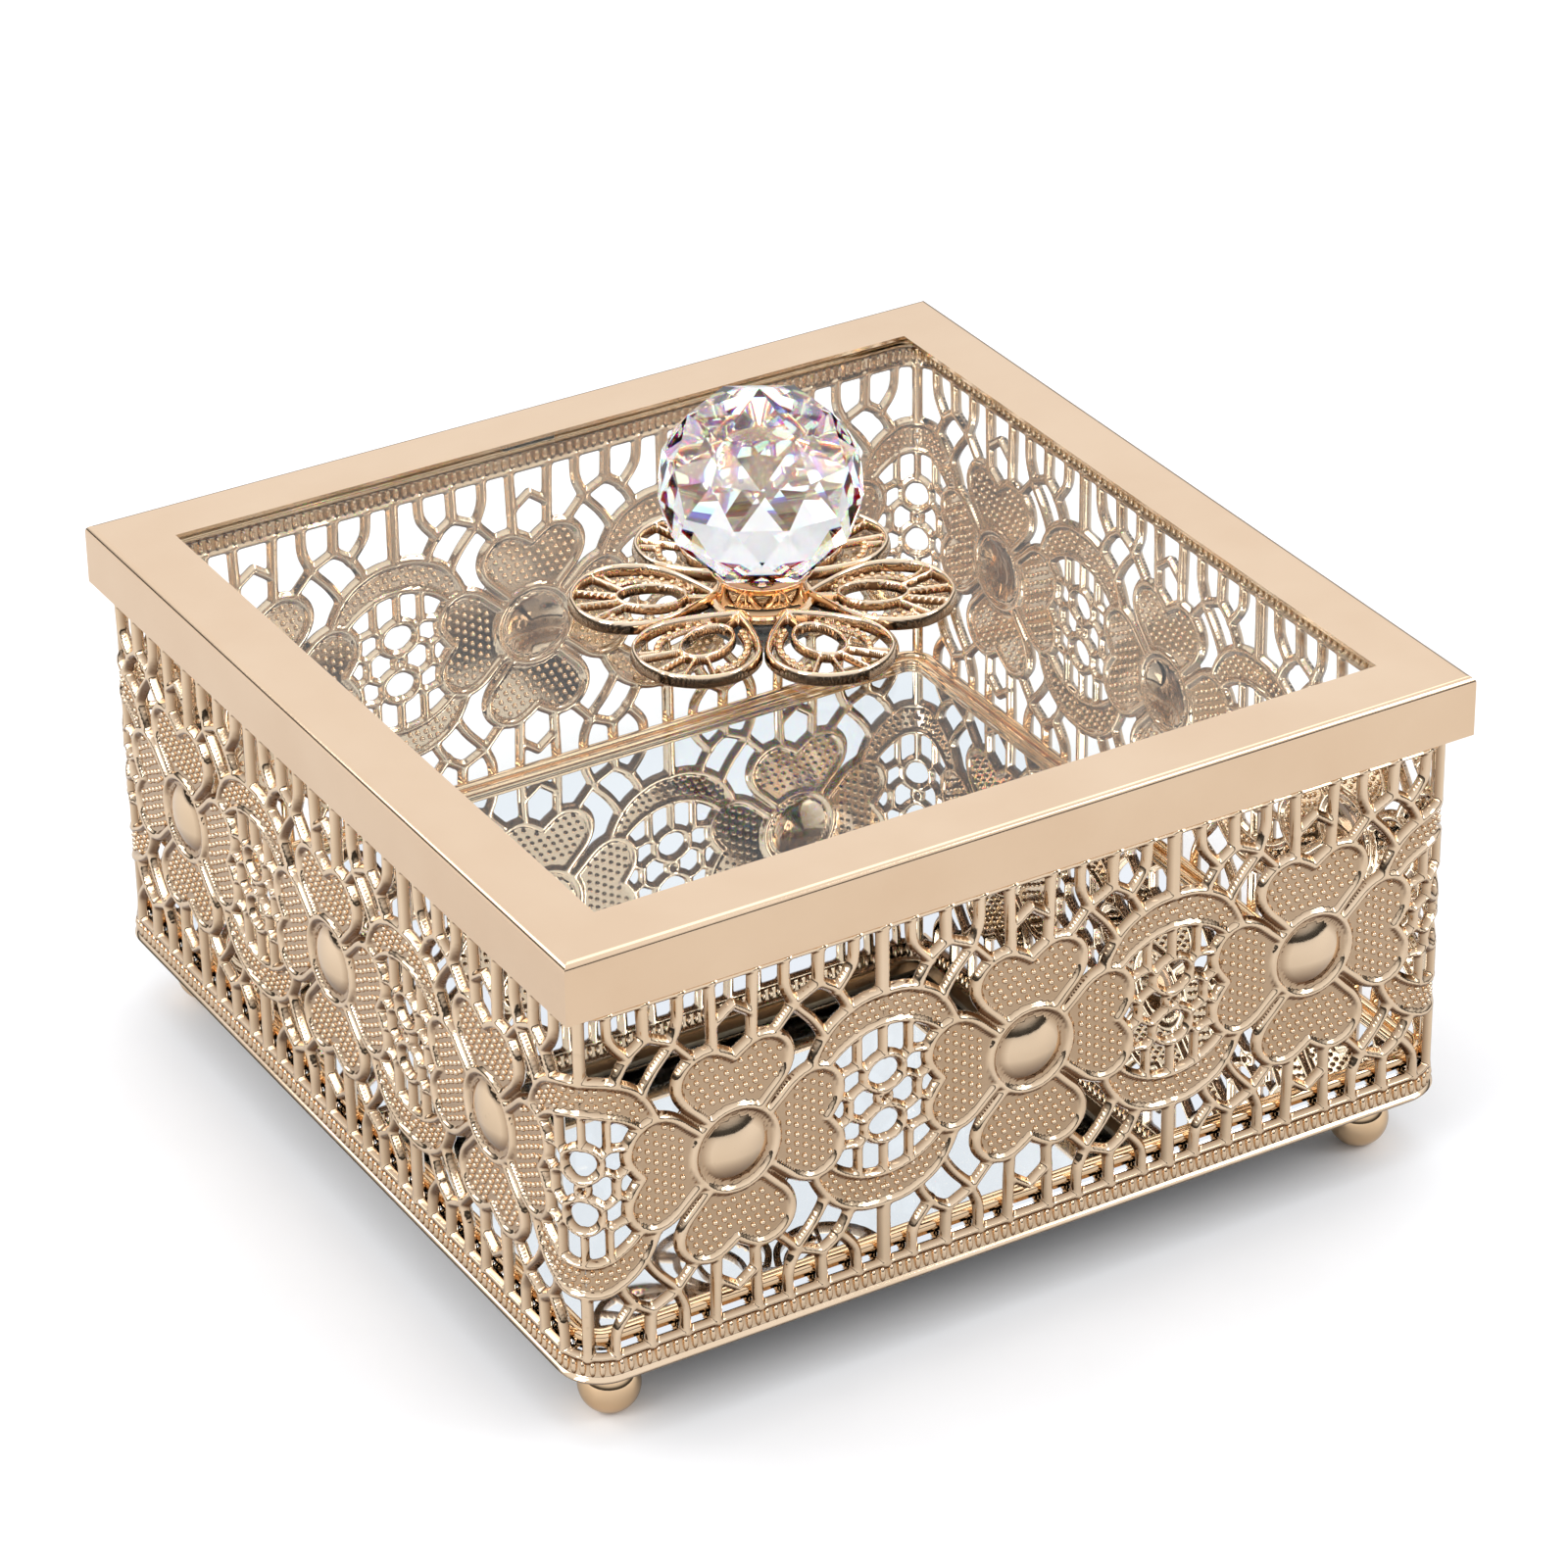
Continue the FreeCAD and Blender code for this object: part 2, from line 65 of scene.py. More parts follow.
WALL_HALF = wall_high[0]
WALL_MIDDLE = (wall_low[2] + wall_high[2]) / 2
WALL_CORNER = 6.6           # outside radius of the band's corners
STRAIGHT = WALL_HALF - WALL_CORNER
FLOWERS = 3                 # flowers on each side
REPEAT = (2 * STRAIGHT + WALL_CORNER * math.pi / 2) / FLOWERS

# ---------------------------------------------------------------- small mesh helpers
scene = bpy.context.scene


def new_object(name, vertices, faces, chosen, normals=None, smooth=True):
    """A mesh object with the chosen material, from vertices in millimetres."""
    mesh = bpy.data.meshes.new(name)
    mesh.from_pydata((np.asarray(vertices, float) * MM).tolist(), [], faces)
    mesh.update()
    mesh.polygons.foreach_set("use_smooth", np.full(len(mesh.polygons), smooth))
    if normals is not None:
        mesh.normals_split_custom_set_from_vertices(np.asarray(normals, float).tolist())
    piece = bpy.data.objects.new(name, mesh)
    scene.collection.objects.link(piece)
    mesh.materials.append(chosen)
    return piece


def paint_recess(piece, recess):
    """Stores how deep each point lies, from 0 on a ridge to 1, for the material to turn into painted
    shade.
    """
    attribute = piece.data.attributes.new("recess", "FLOAT", "POINT")
    attribute.data.foreach_set("value", recess.astype(np.float32))


def declare(piece, body, replaced):
    """Ties a piece to its body and hides the CAD node that it replaces."""
    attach(piece, body)
    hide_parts(replaced)


def curve_through(points, steps=6):
    """Points on a smooth curve through the given ones (Catmull-Rom)."""
    points = np.asarray(points, float)
    padded = np.vstack([2 * points[0] - points[1], points, 2 * points[-1] - points[-2]])
    result = []
    for k in range(1, len(padded) - 2):
        a, b, c, d = padded[k - 1:k + 3]
        for t in np.linspace(0, 1, steps, endpoint=False):
            result.append(0.5 * (2 * b + (c - a) * t + (2 * a - 5 * b + 4 * c - d) * t**2
                                 + (3 * b - a - 3 * c + d) * t**3))
    result.append(points[-1])
    return np.array(result)


def line_distance(u, v, points):
    """Distance of every (u, v) from a polyline."""
    best = np.full(u.shape, np.inf)
    for (au, av), (bu, bv) in zip(points[:-1], points[1:]):
        du, dv = bu - au, bv - av
        t = np.clip(((u - au) * du + (v - av) * dv) / (du * du + dv * dv + 1e-12), 0, 1)
        best = np.minimum(best, (u - au - t * du) ** 2 + (v - av - t * dv) ** 2)
    return np.sqrt(best)


def inside(u, v, outline):
    """True where (u, v) is inside a closed outline."""
    result = np.zeros(u.shape, bool)
    for (au, av), (bu, bv) in zip(outline, np.roll(outline, -1, axis=0)):
        crosses = (av > v) != (bv > v)
        if av != bv:
            result ^= crosses & (u < (bu - au) * (v - av) / (bv - av) + au)
    return result


def mirrored_outline(half):
    """A closed outline from its right half, which starts and ends on the V axis."""
    half = np.asarray(half)
    return np.vstack([half, (half * (-1, 1))[::-1]])


# ---------------------------------------------------------------- the filigree pattern
# Millimetres. u runs along the wall from a flower's middle to the medallion's middle at
# 24.25, v runs up from the flower's row to the wall's edge at 32. Mirrored both ways.
CELL_U, CELL_V = 24.25, 32.0
CELL_SCALE = REPEAT / 2 / CELL_U    # stretches the drawing to fill the wall's length
DOME = 5.35                 # radius of the boss in each flower's middle
DOME_RIM, DOME_RISE = 0.35, 1.5     # height of its edge, and how far its top stands above that
DOME_THICKNESS = 1.0
EYE_RING, EYE_HALF_WIDTH = 6.7, 0.9  # ring round the boss
EYE_FLOOR = 6.0             # solid out to here, under the boss
BAND_HALF_WIDTHS = ((27.9, 0.6), (31.35, 0.65))     # rails of the top and bottom bands
BAND_FLOOR = 4.2            # width of the bands
RIDGE = 1.15                # ridge tops above the middle surface
BACK = 0.75                 # ridge tops of the inner face
EDGE = 0.12                 # half the thickness at a strut's edge
SLOPE = 0.85                # how far a ridge's side reaches in from its edge
FLOOR = 0.34                # height of the pebbled floors, as a share of a ridge
STRUT_GROWTH = 1.12         # cast struts are a little wider than their drawn middle lines
RIBS = 33                   # ribs of the bands in each repeat
RIB_PITCH = REPEAT / RIBS

HEART_HALF = curve_through([(0, 14.85), (1.6, 16.0), (3.3, 16.85), (5.0, 16.95), (7.0, 16.2),
                            (8.4, 14.7), (8.95, 12.9), (8.7, 11.2), (7.75, 9.45), (6.0, 7.55),
                            (4.35, 5.75)])
RING_OUTER = curve_through([(24.25, 17.5), (21.0, 17.2), (18.3, 16.2), (16.2, 14.9),
                            (14.6, 13.2), (13.4, 11.2), (12.6, 9.3)])
RING_INNER_RADIUS = 12.4


def arc(cu, cv, radius, start, end, steps=24, radius_v=None):
    radius_v = radius if radius_v is None else radius_v
    turns = np.radians(np.linspace(start, end, steps))
    return np.column_stack([cu + radius * np.cos(turns), cv + radius_v * np.sin(turns)])


def from_medallion(points):
    return [(CELL_U - u, v) for u, v in points]


RING_INNER = arc(CELL_U, 0, RING_INNER_RADIUS, 138.5, 90)

# (half width, points): the struts of one quarter of the repeat
STRUTS = [
    (0.85, HEART_HALF),
    (0.85, HEART_HALF[:, ::-1]),
    (0.80, RING_OUTER),
    (0.70, RING_INNER),
    (0.95, [(24.25, 17.5), (24.25, 27.9)]),
    (0.80, [(3.45, 27.9), (3.1, 17.3)]),
    (0.70, [(0, 23.3), (3.1, 21.0)]),
    (0.80, curve_through([(8.4, 27.9), (8.5, 23.6), (9.9, 20.1)])),
    (0.75, [(9.8, 20.4), (13.8, 22.3)]),
    (0.75, [(9.5, 20.0), (7.0, 17.2)]),
    (0.75, curve_through([(9.9, 19.8), (12.3, 17.1), (13.8, 14.9), (14.6, 13.2)])),
    (0.85, [(14.0, 27.9), (13.8, 22.3)]),
    (0.80, curve_through([(13.8, 22.3), (16.3, 20.5), (17.9, 18.2), (18.6, 16.5)])),
    (0.80, curve_through([(19.7, 27.9), (19.5, 24.5), (18.7, 22.6), (16.6, 20.0)])),
]
MEDALLION = [
    (0.65, [(0, 7.0), (0, 12.3)]),
    (0.68, [(4.2, 6.5), (4.2, 11.7)]),
    (0.66, arc(0, 4.2, 3.2, 0, 360, 32, 2.85)),
    (0.50, arc(0, 0, 0.95, 0, 360, 20)),
    (0.60, curve_through([(2.0, 2.1), (3.6, 2.75), (5.6, 1.5), (5.6, 0.0), (5.6, -1.5)])),
    (0.62, [(5.6, 1.5), (7.4, 2.5)]),
    (0.60, [(3.1, 5.4), (4.2, 6.5)]),
    (0.62, [(4.2, 6.5), (6.9, 5.9)]),
]
STRUTS += [(width, from_medallion(points)) for width, points in MEDALLION]
STRUTS += [(width, [(u, -v) for u, v in from_medallion(points)]) for width, points in MEDALLION]

HEART_OUTLINE = mirrored_outline(np.vstack([HEART_HALF, [(0, 4.5)]]))
CRESCENT = np.vstack([RING_OUTER, RING_INNER[0:1] - (0.6, 0.6), RING_INNER])


def struts_field(u, v):
    """How far inside the metal each point is, in mm: positive on struts, rounded at joints."""
    blend = 0.16
    total = np.zeros(u.shape)
    for width, points in STRUTS:
        distance = line_distance(u, v, points)
        total += np.exp(np.clip((width * STRUT_GROWTH - distance) / blend, -40, 40))
    radius = np.hypot(u, v)
    total += np.exp((EYE_HALF_WIDTH - np.abs(radius - EYE_RING)) / blend)
    for height, width in BAND_HALF_WIDTHS:
        total += np.exp((width - np.abs(v - height)) / blend)
    return blend * np.log(total)


def floor_mask(u, v):
    """The solid, sunken areas that carry pebbles and ribs."""
    mask = inside(u, v, HEART_OUTLINE) | inside(v, u, HEART_OUTLINE)
    mask |= inside(u, v, CRESCENT) | (np.hypot(u, v) < EYE_FLOOR)
    return mask | (v > CELL_V - BAND_FLOOR)


def soft_step(t):
    t = np.clip(t, 0, 1)
    return t * t * (3 - 2 * t)


def relief(u, v):
    """(strut field, front height, back height) at a point of the quarter repeat."""
    field = struts_field(u, v)
    masked = floor_mask(u, v)
    rise = 1 - (1 - np.clip(field / SLOPE, 0, 1)) ** 2
    floor = np.where(masked, FLOOR, 0.0)
    rounding = 0.01
    rise = 0.5 * (rise + floor + np.sqrt((rise - floor) ** 2 + rounding * masked))
    solid = 0.5
    field = np.where(masked, np.maximum(field, solid), field)
    front = EDGE + (RIDGE - EDGE) * rise
    back = -EDGE - (BACK - EDGE) * rise
    radius = np.hypot(u, v)
    dome = DOME_RIM + DOME_RISE * (1 - (radius / DOME) ** 2)
    front = np.where(radius < DOME, dome, front)
    back = np.where(radius < DOME, dome - DOME_THICKNESS, back)
    return field, front, back


def fold(s, v):
    """Folds a place on the side into the quarter repeat."""
    u = np.abs((s + REPEAT / 2) % REPEAT - REPEAT / 2) * CELL_U / (REPEAT / 2)
    return np.minimum(u, CELL_U), np.abs(v)


def flare(v):
    """The bottom band leans outwards a little."""
    return 0.5 * soft_step((-v - 26.5) / 5.5)


def wrap(s, v, out):
    """Puts a place on the front side (-Y) of the wall into space, round its corners."""
    s, v, out = np.broadcast_arrays(s, v, out)
    turn = np.clip(np.abs(s) - STRAIGHT, 0, None) / WALL_CORNER * np.sign(s)
    flat = np.clip(s, -STRAIGHT, STRAIGHT)
    reach = WALL_CORNER + out
    x = flat + reach * np.sin(turn)
    y = -(STRAIGHT + reach * np.cos(turn))
    return np.stack([x, y, WALL_MIDDLE + v], -1), turn


# Marching squares: for each mix of corners that are metal, the polygons of the cell.
# 0-3 are the corners, counted round from the lower left; 4-7 the cut edges between them.
CELL_POLYGONS = {
    1: [(0, 4, 7)], 2: [(1, 5, 4)], 4: [(2, 6, 5)], 8: [(3, 7, 6)],
    3: [(0, 1, 5, 7)], 6: [(1, 2, 6, 4)], 12: [(2, 3, 7, 5)], 9: [(3, 0, 4, 6)],
    7: [(0, 1, 2, 6, 7)], 14: [(1, 2, 3, 7, 4)], 13: [(2, 3, 0, 4, 5)], 11: [(3, 0, 1, 5, 6)],
    5: [(0, 4, 5, 2, 6, 7)], 10: [(1, 5, 6, 3, 7, 4)], 15: [(0, 1, 2, 3)],
}


def marching_cells(field):
    """Places (in grid steps) and polygons of the area where field is above zero."""
    rows, columns = field.shape
    metal = field > 0
    numbers = np.full((3, rows, columns), -1)
    numbers[0][metal] = np.arange(metal.sum())
    row, column = np.nonzero(metal)
    places = [np.column_stack([column, row]).astype(float)]
    count = len(row)
    for axis, (down, right) in enumerate(((0, 1), (1, 0)), 1):
        a, b = field[:rows - down, :columns - right], field[down:, right:]
        row, column = np.nonzero((a > 0) != (b > 0))
        cut = a[row, column] / (a[row, column] - b[row, column])
        places.append(np.column_stack([column + right * cut, row + down * cut]))
        numbers[axis][row, column] = count + np.arange(len(row))
        count += len(row)
    corner, across, upward = numbers
    cell = np.stack([corner[:-1, :-1], corner[:-1, 1:], corner[1:, 1:], corner[1:, :-1],
                     across[:-1, :-1], upward[:-1, 1:], across[1:, :-1], upward[:-1, :-1]], -1)
    case = (metal[:-1, :-1] * 1 + metal[:-1, 1:] * 2 + metal[1:, 1:] * 4 + metal[1:, :-1] * 8)
    polygons = []
    for corners, shapes in CELL_POLYGONS.items():
        chosen = cell[case == corners]
        for shape in shapes:
            polygons += chosen[:, shape].tolist()
    return np.vstack(places), polygons


def open_edges(polygons):
    """Directed edges that only one polygon uses."""
    edges = {}
    for polygon in polygons:
        for a, b in zip(polygon, polygon[1:] + polygon[:1]):
            edges[(a, b)] = True
    return [(a, b) for a, b in edges if (b, a) not in edges]


def relief_shell(s, v, surface, placing):
    """(places, normals, polygons, depth) of a closed sheet with relief on both faces.

    surface(s, v) gives (strut field, front height, back height). placing(s, v, height) gives
    the place in space and the directions along s, along v and outward.
    """
    grid_s, grid_v = np.meshgrid(s, v)
    places, polygons = marching_cells(surface(grid_s, grid_v)[0])
    point_s = places[:, 0] * (s[1] - s[0]) + s[0]
    point_v = places[:, 1] * (v[1] - v[0]) + v[0]
    nudge = 0.15
    middle = surface(point_s, point_v)
    right, left = surface(point_s + nudge, point_v), surface(point_s - nudge, point_v)
    above, below = surface(point_s, point_v + nudge), surface(point_s, point_v - nudge)
    all_places, all_normals = [], []
    for layer, sign in ((1, 1), (2, -1)):
        place, along, up, outward = placing(point_s, point_v, middle[layer])
        slope_s = (right[layer] - left[layer]) / (2 * nudge)
        slope_v = (above[layer] - below[layer]) / (2 * nudge)
        normal = outward - slope_s[:, None] * along - slope_v[:, None] * up
        normal /= np.linalg.norm(normal, axis=1)[:, None]
        all_places.append(place)
        all_normals.append(normal * sign)
    count = len(point_s)
    closed = list(polygons)
    closed += [[count + k for k in reversed(polygon)] for polygon in polygons]
    closed += [[b, a, count + a, count + b] for a, b in open_edges(polygons)]
    return np.vstack(all_places), np.vstack(all_normals), closed, middle


def filigree_mesh():
    """(places, normals, polygons, recess) of one closed side of the wall.

    The inner face's recess counts for less, because light reaches it from both sides.
    """
    half_columns, half_rows = 201, 88
    s = np.linspace(-1, 1, 2 * half_columns + 1) * FLOWERS * REPEAT / 2
    v = np.linspace(-1, 1, 2 * half_rows + 1) * CELL_V

    def surface(s, v):
        field, front, back = relief(*fold(s, v))
        lean = flare(v) - RIDGE
        return field, front + lean, back + lean

    def placing(s, v, out):
        place, turn = wrap(s, v, out)
        along = np.stack([np.cos(turn), np.sin(turn), 0 * turn], -1)
        outward = np.stack([np.sin(turn), -np.cos(turn), 0 * turn], -1)
        return place, along, np.array([0, 0, 1.0]), outward

    places, normals, polygons, (_, front, back) = relief_shell(s, v, surface, placing)
    # recess: how deep each point lies, which the material turns into painted shade
    inner_share = 0.45
    recess = np.concatenate([-front / RIDGE, inner_share * (back + RIDGE + BACK) / BACK])
    return places, normals, polygons, np.clip(recess, 0, 1)


# Half sizes along the wall, up it and out of it.
PEBBLE = (0.46, 0.46, 0.50)
FRONT_RIB = (0.50, 1.5, 0.62)
BACK_RIB = (0.50, 1.5, 0.55)
BAND_MIDDLE = 29.55         # height of the ribs, above and below the wall's middle
PEBBLE_FREE = 8.0           # no pebbles this near to a flower's middle
JITTER = 0.1                # how far a pebble may stray from its grid place
ROW_STEP = 0.866            # rows of a staggered grid, in pitches


def scattered(mask_outline, rims, pitch, clear, seed):
    """Pebble places on a staggered grid inside an outline, clear of the rims."""
    random = np.random.default_rng(seed)
    low, high = np.min(mask_outline, axis=0), np.max(mask_outline, axis=0)
    rows = int((high[1] - low[1]) / (pitch * ROW_STEP)) + 2
    columns = int((high[0] - low[0]) / pitch) + 2
    row, column = np.mgrid[0:rows, 0:columns]
    u = low[0] + (column + 0.5 * (row % 2)) * pitch
    v = low[1] + row * pitch * ROW_STEP
    u = (u + random.uniform(-JITTER, JITTER, u.shape)).ravel()
    v = (v + random.uniform(-JITTER, JITTER, v.shape)).ravel()
    keep = inside(u, v, mask_outline)
    for width, points in rims:
        keep &= line_distance(u, v, points) > width + clear
    keep &= np.hypot(u, v) > PEBBLE_FREE
    return u[keep], v[keep]


def pebble_places():
    """(s, v) of every pebble on one side of the wall."""
    rims = STRUTS[:4]
    heart_rim, heart_points = STRUTS[0]
    heart_rims = [(heart_rim, heart_points), (heart_rim, heart_points * (-1, 1))]
    u, v = scattered(HEART_OUTLINE, heart_rims, 1.55, 0.28, 3)
    hearts = [(u, v), (u, -v), (v, u), (-v, u)]
    right_crescent = np.vstack([CRESCENT, [(CELL_U, 15.0)]])
    u, v = scattered(right_crescent, rims, 1.4, 0.22, 7)
    crescents = [(u * a, v * b) for a in (1, -1) for b in (1, -1)]
    points = np.hstack([np.array(part) for part in hearts + crescents])
    middles = (np.arange(FLOWERS) - (FLOWERS - 1) / 2) * REPEAT
    u = (points[0] * CELL_SCALE + middles[:, None]).ravel()
    return u, np.tile(points[1], FLOWERS)


def rounded_lumps(places, size, axes, segments=7, rings=4):
    """Closed ellipsoids of one size (along, up, out), with those three axes for each."""
    along, up, out = [np.broadcast_to(axis, places.shape) for axis in axes]
    template = [(0, 0, 1)]
    for ring in range(1, rings):
        tilt = math.pi * ring / rings
        for k in range(segments):
            turn = 2 * math.pi * (k + 0.5 * (ring % 2)) / segments
            template.append((math.sin(tilt) * math.cos(turn), math.sin(tilt) * math.sin(turn),
                             math.cos(tilt)))
    template.append((0, 0, -1))
    template = np.array(template)
    local = template[None] * np.asarray(size, float)
    vertices = (places[:, None, :] + local[..., :1] * along[:, None, :]
                + local[..., 1:2] * up[:, None, :] + local[..., 2:] * out[:, None, :])
    faces = []
    last = len(template) - 1
    for k in range(segments):
        after = (k + 1) % segments
        faces.append((0, 1 + k, 1 + after))
        for ring in range(rings - 2):
            a, b = 1 + ring * segments, 1 + (ring + 1) * segments
            faces.append((a + k, b + k, b + after, a + after))
        base = 1 + (rings - 2) * segments
        faces.append((base + k, last, base + after))
    everything = []
    for number in range(len(places)):
        start = number * len(template)
        everything += [tuple(start + k for k in face) for face in faces]
    return vertices.reshape(-1, 3), everything


def beads_mesh():
    """Pebbles on both faces of one side, and the ribs of its two bands."""
    front = EDGE + (RIDGE - EDGE) * FLOOR - RIDGE
    back = -EDGE - (BACK - EDGE) * FLOOR - RIDGE
    s, v = pebble_places()
    rib_s = (np.arange(RIBS * FLOWERS) - (RIBS * FLOWERS - 1) / 2) * RIB_PITCH
    sets = [(s, v, PEBBLE, front), (s, v, PEBBLE, back)]
    for height in (-BAND_MIDDLE, BAND_MIDDLE):
        row = np.full(len(rib_s), height)
        sets += [(rib_s, row, FRONT_RIB, front), (rib_s, row, BACK_RIB, back)]
    vertices, faces = [], []
    for along_wall, height, size, out in sets:
        place, turn = wrap(along_wall, height, out + flare(height))
        axes = (np.stack([np.cos(turn), np.sin(turn), 0 * turn], -1), (0, 0, 1),
                np.stack([np.sin(turn), -np.cos(turn), 0 * turn], -1))
        points, shapes = rounded_lumps(place, size, axes)
        start = sum(len(part) for part in vertices)
        vertices.append(points)
        faces += [tuple(start + k for k in shape) for shape in shapes]
    return np.vstack(vertices), faces


def turned(vectors, quarter):
    """Vectors turned by whole quarters about the Z axis."""
    turn = math.pi / 2 * quarter
    c, s = round(math.cos(turn)), round(math.sin(turn))
    return np.asarray(vectors) @ np.array([[c, s, 0], [-s, c, 0], [0, 0, 1]])


def build_wall():
    places, normals, polygons, recess = filigree_mesh()
    bead_places, bead_faces = beads_mesh()
    pieces = []
    for quarter, side in enumerate(("front", "right", "back", "left")):
        wall = new_object(f"wall_filigree_{side}", turned(places, quarter), polygons,
                          gold_filigree, turned(normals, quarter))
        paint_recess(wall, recess)
        beads = new_object(f"wall_beads_{side}", turned(bead_places, quarter), bead_faces,
                           gold_filigree)
        pieces += [wall, beads]
    for piece in pieces:
        declare(piece, "box", "wall_band")


# ---------------------------------------------------------------- rosette
PETALS = 6
PETAL_FIRST = 30.0          # degrees
PETAL_FOOT = 0.12           # thickness at a strut's edge
PETAL_GRID = 0.2
PETAL_HALF = curve_through([(6.9, 0.0), (9.4, 2.9), (12.8, 6.3), (16.4, 8.6), (20.2, 9.1),
                            (23.9, 8.0), (26.8, 5.0), (28.1, 1.4), (28.2, 0.0)])
LOOP_MIDDLE, LOOP_LONG, LOOP_WIDE = 16.4, 5.1, 3.3
PETAL_STRIP = curve_through([(10.9, 2.7), (13.3, 5.0), (16.4, 6.35), (19.4, 6.35), (22.0, 5.2)])
PETAL_RIBS = ([(21.2, 0.9), (27.6, 2.2)], [(20.2, 2.2), (25.2, 6.6)])
BEAD = (0.44, 0.44, 0.42)
BEAD_MIDDLE = 0.78          # height of the beads above the pane's pad
BEADS_PER_STRIP = 9
HUB_OUTLINE = ((2.5, 0), (7.4, 0), (7.9, 0.3), (7.9, 1.0), (7.5, 1.3), (2.5, 1.3))


def petal_parts():
    """(half width, height, roundness, points) of the struts of one petal, along +X."""
    parts = [(0.42, 1.5, 0.5, arc(LOOP_MIDDLE, 0, LOOP_LONG, 0, 360, 40, LOOP_WIDE))]
    for side in (1, -1):
        parts.append((0.58, 1.8, 0.5, PETAL_HALF * (1, side)))
        parts += [(0.34, 1.2, 0.5, np.array(rib) * (1, side)) for rib in PETAL_RIBS]
        parts.append((0.62, 0.6, 0.2, PETAL_STRIP * (1, side)))
        parts.append((0.35, 0.9, 0.5, [(22.0, side * 5.2), (23.6, side * 7.2)]))
    parts.append((0.55, 1.2, 0.5, [(6.5, 0), (11.3, 0)]))
    return parts


def petal_surface(x, y):
    """(strut field, front height, back height) at a point of the petal along +X."""
    field = np.full(x.shape, -np.inf)
    height = np.zeros(x.shape)
    for width, tall, roundness, points in petal_parts():
        margin = width - line_distance(x, y, points)
        field = np.maximum(field, margin)
        rise = np.clip(margin / width, 0, 1)
        dome = (1 - (1 - rise) ** 2) ** roundness
        height = np.maximum(height, tall * dome)
    return field, height + PETAL_FOOT, np.zeros(x.shape)


def build_rosette():
    base = rosette_low[2]
    x = np.arange(5.6, 30.0, PETAL_GRID)
    y = np.arange(-10.4, 10.41, PETAL_GRID)

    def placing(x, y, height):
        place = np.stack([x, y, base + height], -1)
        return place, np.array([1.0, 0, 0]), np.array([0, 1.0, 0]), np.array([[0, 0, 1.0]])

    places, normals, polygons, (_, front, back) = relief_shell(x, y, petal_surface, placing)
    # painted shade: the petals darken below their tops, and their undersides by a fixed share
    bright_height, underside = 1.3, 0.6
    recess = np.concatenate([1 - front / bright_height, back * 0 + underside]).clip(0, 1)
    steps = np.linspace(0, len(PETAL_STRIP) - 1, BEADS_PER_STRIP).round().astype(int)
    row = np.vstack([PETAL_STRIP[steps], PETAL_STRIP[steps] * (1, -1)])
    bead_places = np.column_stack([row, np.full(len(row), base + BEAD_MIDDLE)])
    bead_points, bead_faces = rounded_lumps(bead_places, BEAD, np.eye(3), 10, 6)
    vertices, all_normals, faces = [], [], []
    bead_vertices, bead_shapes = [], []
    for number in range(PETALS):
        turn = math.radians(PETAL_FIRST + number * 360 / PETALS)
        c, d = math.cos(turn), math.sin(turn)
        spin = np.array([[c, d, 0], [-d, c, 0], [0, 0, 1]])
        start = number * len(places)
        vertices.append(places @ spin)
        all_normals.append(normals @ spin)
        faces += [[start + k for k in polygon] for polygon in polygons]
        start = number * len(bead_points)
        bead_vertices.append(bead_points @ spin)
        bead_shapes += [tuple(start + k for k in face) for face in bead_faces]
    petals = new_object("rosette_petals", np.vstack(vertices), faces, gold_rosette,
                        np.vstack(all_normals))
    paint_recess(petals, np.tile(recess, PETALS))
    beads = new_object("rosette_beads", np.vstack(bead_vertices), bead_shapes, gold_polished)
    hub = turned_piece("rosette_hub", [(radius, base + height) for radius, height in HUB_OUTLINE],
                       gold_polished)
    for piece in (petals, beads, hub):
        declare(piece, "lid", "rosette")


def turned_piece(name, profile, chosen, steps=96):
    """A closed ring turned round the Z axis from a closed (radius, height) outline."""
    turns = np.linspace(0, 2 * math.pi, steps, endpoint=False)
    profile = np.asarray(profile, float)
    vertices = [(r * math.cos(t), r * math.sin(t), z) for t in turns for r, z in profile]
    count = len(profile)
    faces = []
    for step in range(steps):
        here, there = step * count, (step + 1) % steps * count
        for k in range(count):
            after = (k + 1) % count
            faces.append((here + k, there + k, there + after, here + after))
    return new_object(name, vertices, faces, chosen, smooth=False)


# ---------------------------------------------------------------- mirror and its bezel
MIRROR_CORNER = 4.7
BEVEL_WIDTH, BEVEL_DROP = 8.0, 1.1
EDGE_CHAMFER = 0.2
BEZEL_CORNER = 5.0
BEZEL_BEADS = ((0.88, 0.95, 0.84), (2.45, 0.45, 0.72))      # inset, height and radius
BEZEL_INSETS = (0.02, 3.17)
BEZEL_LIFT = 0.01           # clear of the base plate


def square_sweep(name, profile, half, radius, chosen, bend_steps=10, capped=False, smooth=True):
    """A ring swept round a rounded square from a closed (inset, height) outline, or, when
    capped, a plate whose edge is the open outline."""
    path = []
    for quarter, (side_x, side_y) in enumerate([(1, 1), (-1, 1), (-1, -1), (1, -1)]):
        for step in range(bend_steps + 1):
            turn = math.pi / 2 * (quarter + step / bend_steps)
            path.append((side_x * (half - radius), side_y * (half - radius), turn))
    least_bend = 0.2
    vertices = []
    for x, y, turn in path:
        for inset, z in profile:
            reach = max(radius - inset, least_bend)
            shift = radius - inset - reach
            vertices.append((x + reach * math.cos(turn) + math.copysign(shift, x),
                             y + reach * math.sin(turn) + math.copysign(shift, y), z))
    count = len(profile)
    faces = []
    for step in range(len(path)):
        here, there = step * count, (step + 1) % len(path) * count
        for k in range(count - 1 if capped else count):
            after = (k + 1) % count
            faces.append((here + k, there + k, there + after, here + after))
    if capped:
        starts = [step * count for step in range(len(path))]
        faces.append(starts[::-1])
        faces.append([start + count - 1 for start in starts])
    return new_object(name, vertices, faces, chosen, smooth=smooth)


